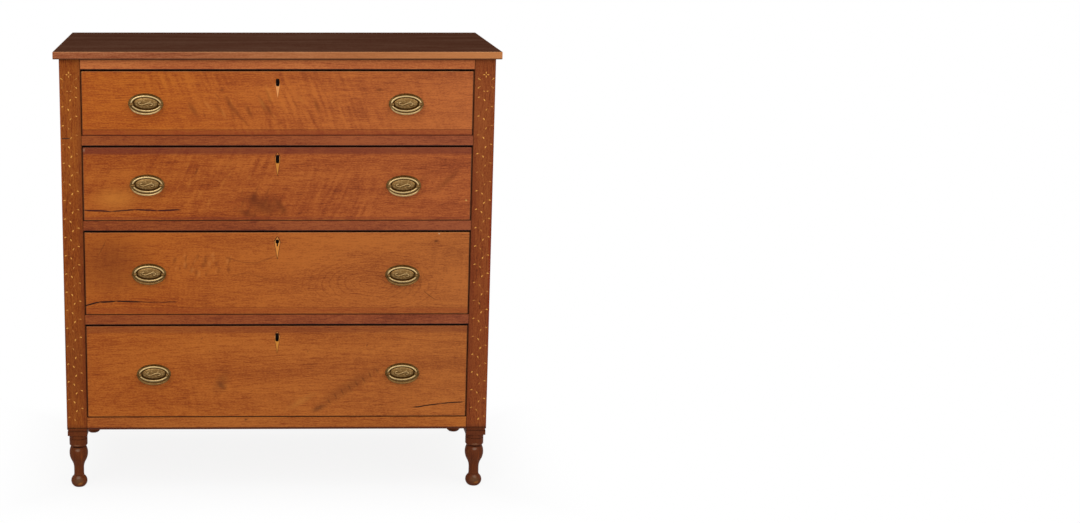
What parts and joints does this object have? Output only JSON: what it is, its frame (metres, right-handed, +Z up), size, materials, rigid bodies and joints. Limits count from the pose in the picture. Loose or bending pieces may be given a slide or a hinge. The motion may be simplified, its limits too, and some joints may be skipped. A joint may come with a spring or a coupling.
{
  "type": "chest of drawers",
  "caption": "Flat-front wooden chest of graduated drawers on turned feet, with vine-inlaid posts, kite keyhole escutcheons, mortise locks and oval brass bail pulls.",
  "frame": {"origin": "on the floor under the middle of the top board", "axes": "+Z up, +X to the right as one faces the drawers, -Y out of the front"},
  "size_m": [1.067, 0.52, 1.09],
  "materials": {
    "case_wood": "aged cherry or mahogany, oiled and waxed to a soft shine",
    "drawer_wood": "figured cherry, aged to orange-brown and waxed",
    "inner_wood": "bare pine, planed and dry",
    "inlay_wood": "light holly or maple inlay, ambered under wax",
    "escutcheon_wood": "light satinwood, waxed",
    "aged_brass": "stamped and cast brass, worn bright on the high spots, brown in the hollows",
    "iron": "wrought iron, dark and dull"
  },
  "bodies": {
    "root": {"top_board": "case_wood", "left_front_post": "case_wood", "left_rear_post": "case_wood", "left_side_panel": "case_wood", "right_front_post": "case_wood", "right_rear_post": "case_wood", "right_side_panel": "case_wood", "top_rail": "case_wood", "divider_rails": "case_wood", "bottom_rail": "case_wood", "rear_rails": "inner_wood", "back_boards": "inner_wood", "runners_and_guides": "inner_wood", "top_kickers": "inner_wood", "vine_inlay": "inlay_wood", "case_fasteners": "iron"},
    "drawer_1": {"drawer_1_front": "drawer_wood", "drawer_1_sides": "inner_wood", "drawer_1_back": "inner_wood", "drawer_1_bottom": "inner_wood", "drawer_1_escutcheon": "escutcheon_wood", "drawer_1_lock": "iron", "drawer_1_pull_plates": "aged_brass", "drawer_1_pull_posts": "aged_brass"},
    "drawer_1_bolt": {"drawer_1_lock_bolt": "iron"},
    "drawer_1_left_bail": {"drawer_1_left_bail": "aged_brass"},
    "drawer_1_right_bail": {"drawer_1_right_bail": "aged_brass"},
    "drawer_2": {"drawer_2_front": "drawer_wood", "drawer_2_sides": "inner_wood", "drawer_2_back": "inner_wood", "drawer_2_bottom": "inner_wood", "drawer_2_escutcheon": "escutcheon_wood", "drawer_2_lock": "iron", "drawer_2_pull_plates": "aged_brass", "drawer_2_pull_posts": "aged_brass"},
    "drawer_2_bolt": {"drawer_2_lock_bolt": "iron"},
    "drawer_2_left_bail": {"drawer_2_left_bail": "aged_brass"},
    "drawer_2_right_bail": {"drawer_2_right_bail": "aged_brass"},
    "drawer_3": {"drawer_3_front": "drawer_wood", "drawer_3_sides": "inner_wood", "drawer_3_back": "inner_wood", "drawer_3_bottom": "inner_wood", "drawer_3_escutcheon": "escutcheon_wood", "drawer_3_lock": "iron", "drawer_3_pull_plates": "aged_brass", "drawer_3_pull_posts": "aged_brass"},
    "drawer_3_bolt": {"drawer_3_lock_bolt": "iron"},
    "drawer_3_left_bail": {"drawer_3_left_bail": "aged_brass"},
    "drawer_3_right_bail": {"drawer_3_right_bail": "aged_brass"},
    "drawer_4": {"drawer_4_front": "drawer_wood", "drawer_4_sides": "inner_wood", "drawer_4_back": "inner_wood", "drawer_4_bottom": "inner_wood", "drawer_4_escutcheon": "escutcheon_wood", "drawer_4_lock": "iron", "drawer_4_pull_plates": "aged_brass", "drawer_4_pull_posts": "aged_brass"},
    "drawer_4_bolt": {"drawer_4_lock_bolt": "iron"},
    "drawer_4_left_bail": {"drawer_4_left_bail": "aged_brass"},
    "drawer_4_right_bail": {"drawer_4_right_bail": "aged_brass"}
  },
  "joints": [
    {"name": "drawer_1_slide", "type": "slide", "parent": "root", "child": "drawer_1", "axis": [0, -1, 0], "range_m": [0, 0.38]},
    {"name": "drawer_1_bolt_slide", "type": "slide", "parent": "drawer_1", "child": "drawer_1_bolt", "axis": [0, 0, 1], "range_m": [0, 0.008]},
    {"name": "drawer_1_left_bail_hinge", "type": "hinge", "parent": "drawer_1", "child": "drawer_1_left_bail", "pos_m": [-0.3147, -0.256, 0.9643], "axis": [-1, 0, 0], "range_deg": [-12, 190]},
    {"name": "drawer_1_right_bail_hinge", "type": "hinge", "parent": "drawer_1", "child": "drawer_1_right_bail", "pos_m": [0.3074, -0.256, 0.964], "axis": [-1, 0, 0], "range_deg": [-12, 190]},
    {"name": "drawer_2_slide", "type": "slide", "parent": "root", "child": "drawer_2", "axis": [0, -1, 0], "range_m": [0, 0.38]},
    {"name": "drawer_2_bolt_slide", "type": "slide", "parent": "drawer_2", "child": "drawer_2_bolt", "axis": [0, 0, 1], "range_m": [0, 0.008]},
    {"name": "drawer_2_left_bail_hinge", "type": "hinge", "parent": "drawer_2", "child": "drawer_2_left_bail", "pos_m": [-0.3139, -0.256, 0.7683], "axis": [-1, 0, 0], "range_deg": [-12, 190]},
    {"name": "drawer_2_right_bail_hinge", "type": "hinge", "parent": "drawer_2", "child": "drawer_2_right_bail", "pos_m": [0.3044, -0.256, 0.7659], "axis": [-1, 0, 0], "range_deg": [-12, 190]},
    {"name": "drawer_3_slide", "type": "slide", "parent": "root", "child": "drawer_3", "axis": [0, -1, 0], "range_m": [0, 0.38]},
    {"name": "drawer_3_bolt_slide", "type": "slide", "parent": "drawer_3", "child": "drawer_3_bolt", "axis": [0, 0, 1], "range_m": [0, 0.008]},
    {"name": "drawer_3_left_bail_hinge", "type": "hinge", "parent": "drawer_3", "child": "drawer_3_left_bail", "pos_m": [-0.312, -0.256, 0.5488], "axis": [-1, 0, 0], "range_deg": [-12, 190]},
    {"name": "drawer_3_right_bail_hinge", "type": "hinge", "parent": "drawer_3", "child": "drawer_3_right_bail", "pos_m": [0.3053, -0.256, 0.5451], "axis": [-1, 0, 0], "range_deg": [-12, 190]},
    {"name": "drawer_4_slide", "type": "slide", "parent": "root", "child": "drawer_4", "axis": [0, -1, 0], "range_m": [0, 0.38]},
    {"name": "drawer_4_bolt_slide", "type": "slide", "parent": "drawer_4", "child": "drawer_4_bolt", "axis": [0, 0, 1], "range_m": [0, 0.008]},
    {"name": "drawer_4_left_bail_hinge", "type": "hinge", "parent": "drawer_4", "child": "drawer_4_left_bail", "pos_m": [-0.3036, -0.256, 0.2955], "axis": [-1, 0, 0], "range_deg": [-12, 190]},
    {"name": "drawer_4_right_bail_hinge", "type": "hinge", "parent": "drawer_4", "child": "drawer_4_right_bail", "pos_m": [0.3087, -0.256, 0.2973], "axis": [-1, 0, 0], "range_deg": [-12, 190]}
  ]
}
